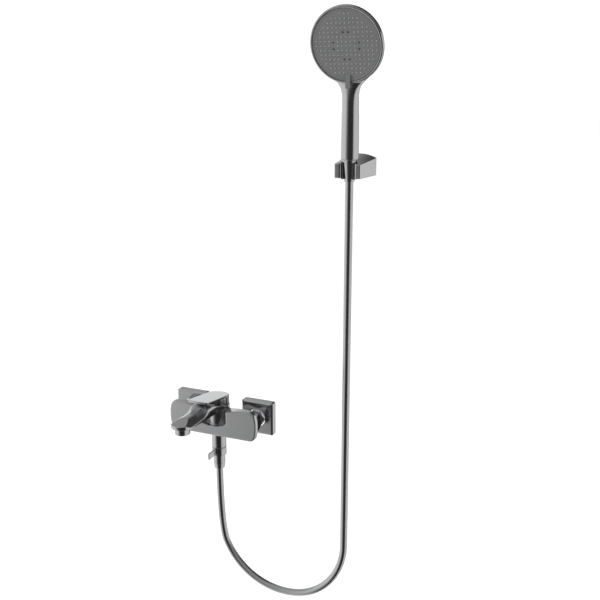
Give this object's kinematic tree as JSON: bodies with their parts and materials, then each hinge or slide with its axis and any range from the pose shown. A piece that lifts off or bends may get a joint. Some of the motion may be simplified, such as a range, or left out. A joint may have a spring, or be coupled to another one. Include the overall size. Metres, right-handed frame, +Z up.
{
  "type": "wall mounted bath faucet",
  "caption": "Wall mounted single lever bath mixer with flat front plate, blade spout, diverter, hose, round hand shower and forked wall bracket.",
  "frame": {"origin": "on the finished wall, midway between the two water inlets", "axes": "+Y into the wall, -Y into the room, +Z up, +X towards the cold inlet and the hand shower"},
  "size_m": [0.4535, 0.2305, 1.1425],
  "materials": {
    "gunmetal": "polished brass with a satin gunmetal PVD coat",
    "bare_brass": "machined, not plated",
    "stainless": "machined",
    "ceramic": "lapped ceramic",
    "black_rubber": "moulded, matt",
    "cartridge_plastic": "moulded",
    "plated_plastic": "plated plastic, satin gunmetal",
    "face_plastic": "moulded grey, fine matt",
    "nozzle_silicone": "moulded dark grey silicone",
    "hose_skin": "smooth grey metallic PVC",
    "dark_plastic": "moulded, matt",
    "anchor_nylon": "moulded nylon"
  },
  "bodies": {
    "wall_set": {"mixer_body": "gunmetal", "wall_union_hot": "bare_brass", "wall_union_cold": "bare_brass", "filter_washers": "black_rubber", "union_nuts": "gunmetal", "check_valves": "cartridge_plastic", "escutcheon_hot": "gunmetal", "escutcheon_cold": "gunmetal", "cartridge_seal": "black_rubber", "cartridge_base": "cartridge_plastic", "fixed_disc": "ceramic", "cartridge_shell": "cartridge_plastic", "retaining_nut": "bare_brass", "spout": "gunmetal", "aerator_shell": "gunmetal", "aerator_insert": "dark_plastic", "aerator_gasket": "black_rubber", "diverter_body": "gunmetal", "diverter_gasket": "black_rubber", "hose_nut": "gunmetal", "hose_washer_lower": "black_rubber", "hose_barb_lower": "bare_brass", "hose": "hose_skin", "hose_barb_upper": "bare_brass", "bracket_arm": "gunmetal", "cradle_liner": "dark_plastic", "bracket_base": "stainless", "bracket_screws": "stainless", "wall_plugs": "anchor_nylon"},
    "lever_carrier_body": {"lever_carrier": "cartridge_plastic", "lever_pin": "stainless"},
    "lever": {"handle": "gunmetal", "lever_stem": "bare_brass", "grub_screw": "stainless", "screw_cap": "dark_plastic"},
    "disc": {"moving_disc": "ceramic"},
    "poppet_hot": {"check_poppet_hot": "cartridge_plastic"},
    "poppet_cold": {"check_poppet_cold": "cartridge_plastic"},
    "diverter": {"diverter_sleeve": "gunmetal", "diverter_core": "bare_brass"},
    "handset": {"handset_shell": "plated_plastic", "grip_nipple": "dark_plastic", "nozzle_mat": "nozzle_silicone", "hose_cone": "gunmetal", "hose_washer_upper": "black_rubber"},
    "spray_face": {"face_plate": "face_plastic"}
  },
  "joints": [
    {"name": "handle_turn", "type": "hinge", "parent": "wall_set", "child": "lever_carrier_body", "pos_m": [0, -0.039, 0.017], "axis": [0, 0, 1], "range_deg": [-45, 45]},
    {"name": "handle_lift", "type": "hinge", "parent": "lever_carrier_body", "child": "lever", "pos_m": [0, -0.034, 0.037], "axis": [-1, 0, 0], "range_deg": [0, 20]},
    {"name": "disc_slide", "type": "slide", "parent": "lever_carrier_body", "child": "disc", "axis": [0, -1, 0], "range_m": [0, 0.0096]},
    {"name": "check_hot", "type": "slide", "parent": "wall_set", "child": "poppet_hot", "axis": [0, -1, 0], "range_m": [0, 0.0025], "stiffness_N_per_m": 60, "springref_m": -0.001},
    {"name": "check_cold", "type": "slide", "parent": "wall_set", "child": "poppet_cold", "axis": [0, -1, 0], "range_m": [0, 0.0025], "stiffness_N_per_m": 60, "springref_m": -0.001},
    {"name": "diverter_turn", "type": "hinge", "parent": "wall_set", "child": "diverter", "pos_m": [0, -0.039, -0.0735], "axis": [0, 0, 1], "range_deg": [0, 90]},
    {"name": "handset_turn", "type": "hinge", "parent": "wall_set", "child": "handset", "pos_m": [0.28, -0.058, 0.508], "axis": [0, 0, 1], "range_deg": [-60, 60]},
    {"name": "spray_select", "type": "hinge", "parent": "handset", "child": "spray_face", "pos_m": [0.28, -0.085, 0.7155], "axis": [0, -0.9681, -0.2504], "range_deg": [-25, 25]}
  ],
  "couplings": [
    {"joint": "disc_slide", "follows": "handle_lift", "m_per_rad": 0.0272}
  ]
}
